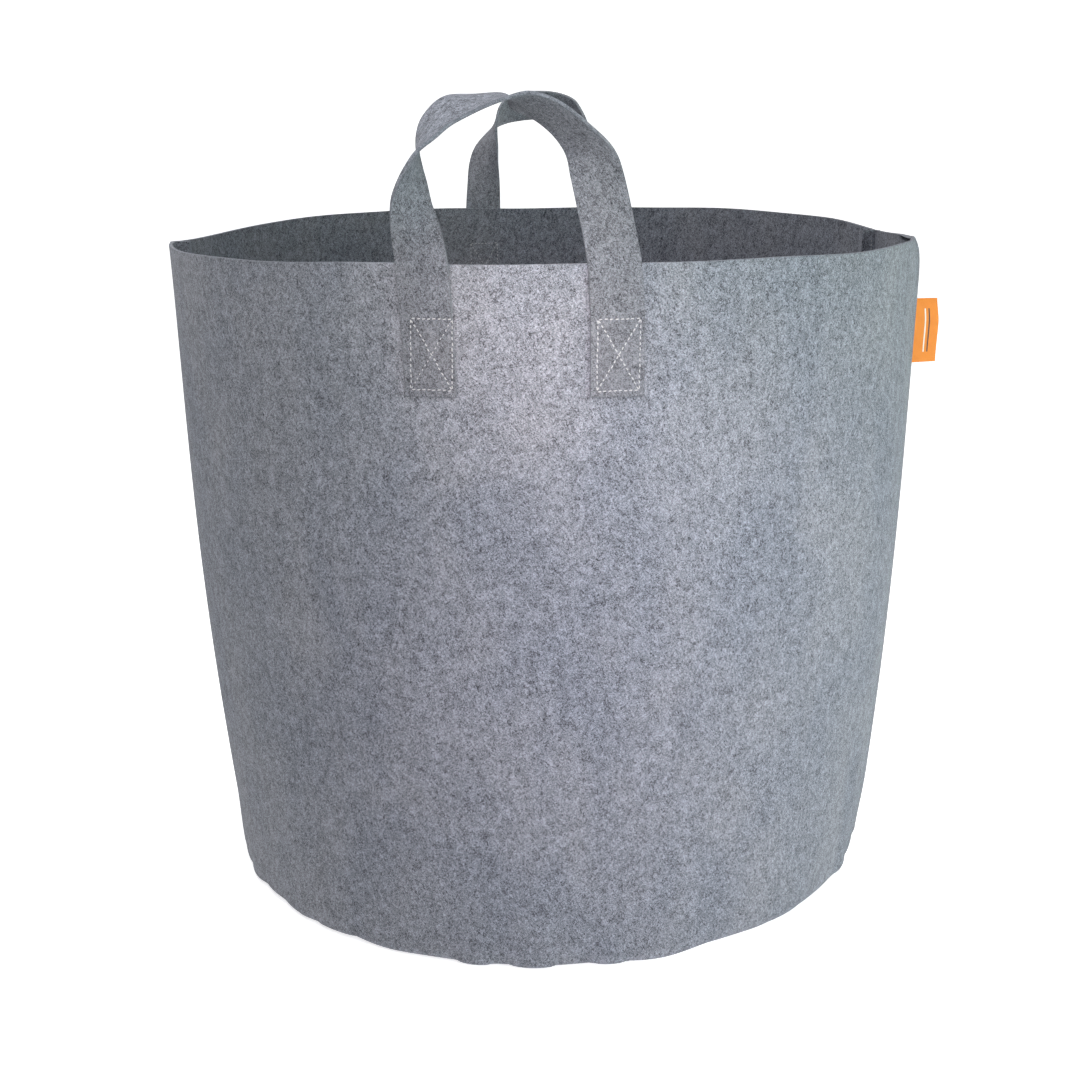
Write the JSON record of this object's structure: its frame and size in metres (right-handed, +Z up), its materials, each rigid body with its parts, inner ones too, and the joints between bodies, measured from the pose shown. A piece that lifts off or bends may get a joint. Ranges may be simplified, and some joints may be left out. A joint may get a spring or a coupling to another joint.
{
  "type": "fabric grow bag",
  "caption": "Round tapered felt grow bag, open at the top, with a sewn-in flat base and two strap handles that fold in or out at the rim.",
  "frame": {"origin": "centre of the base's underside, on the surface that the bag stands on", "axes": "+Z up towards the open rim, -Y the front, so the two handles are on the -Y and +Y walls and the label is at the +X side"},
  "size_m": [0.5381, 0.5052, 0.515],
  "materials": {
    "felt": "matte needle-punched felt, mottled blue-grey",
    "label": "satin ribbon, orange",
    "thread": "matte off-white sewing thread"
  },
  "bodies": {
    "bag": {"back_handle_left_end": "felt", "back_handle_right_end": "felt", "back_left_box_bobbin_thread": "thread", "back_left_box_needle_thread": "thread", "back_panel": "felt", "back_right_box_bobbin_thread": "thread", "back_right_box_needle_thread": "thread", "base_disc": "felt", "base_seam_bobbin_thread": "thread", "base_seam_needle_thread": "thread", "front_handle_left_end": "felt", "front_handle_right_end": "felt", "front_left_box_bobbin_thread": "thread", "front_left_box_needle_thread": "thread", "front_panel": "felt", "front_right_box_bobbin_thread": "thread", "front_right_box_needle_thread": "thread", "label": "label", "left_seam_bobbin_thread": "thread", "left_seam_needle_thread": "thread", "right_seam_bobbin_thread": "thread", "right_seam_needle_thread": "thread"},
    "front_handle": {"front_handle_loop": "felt"},
    "back_handle": {"back_handle_loop": "felt"}
  },
  "joints": [
    {"name": "front_handle_fold", "type": "hinge", "parent": "bag", "child": "front_handle", "pos_m": [-0.008, -0.25135, 0.427], "axis": [1, 0, 0], "range_deg": [-90, 165], "stiffness_Nm_per_rad": 0.015},
    {"name": "back_handle_fold", "type": "hinge", "parent": "bag", "child": "back_handle", "pos_m": [-0.005, 0.25135, 0.427], "axis": [-1, 0, 0], "range_deg": [-90, 165], "stiffness_Nm_per_rad": 0.015}
  ]
}
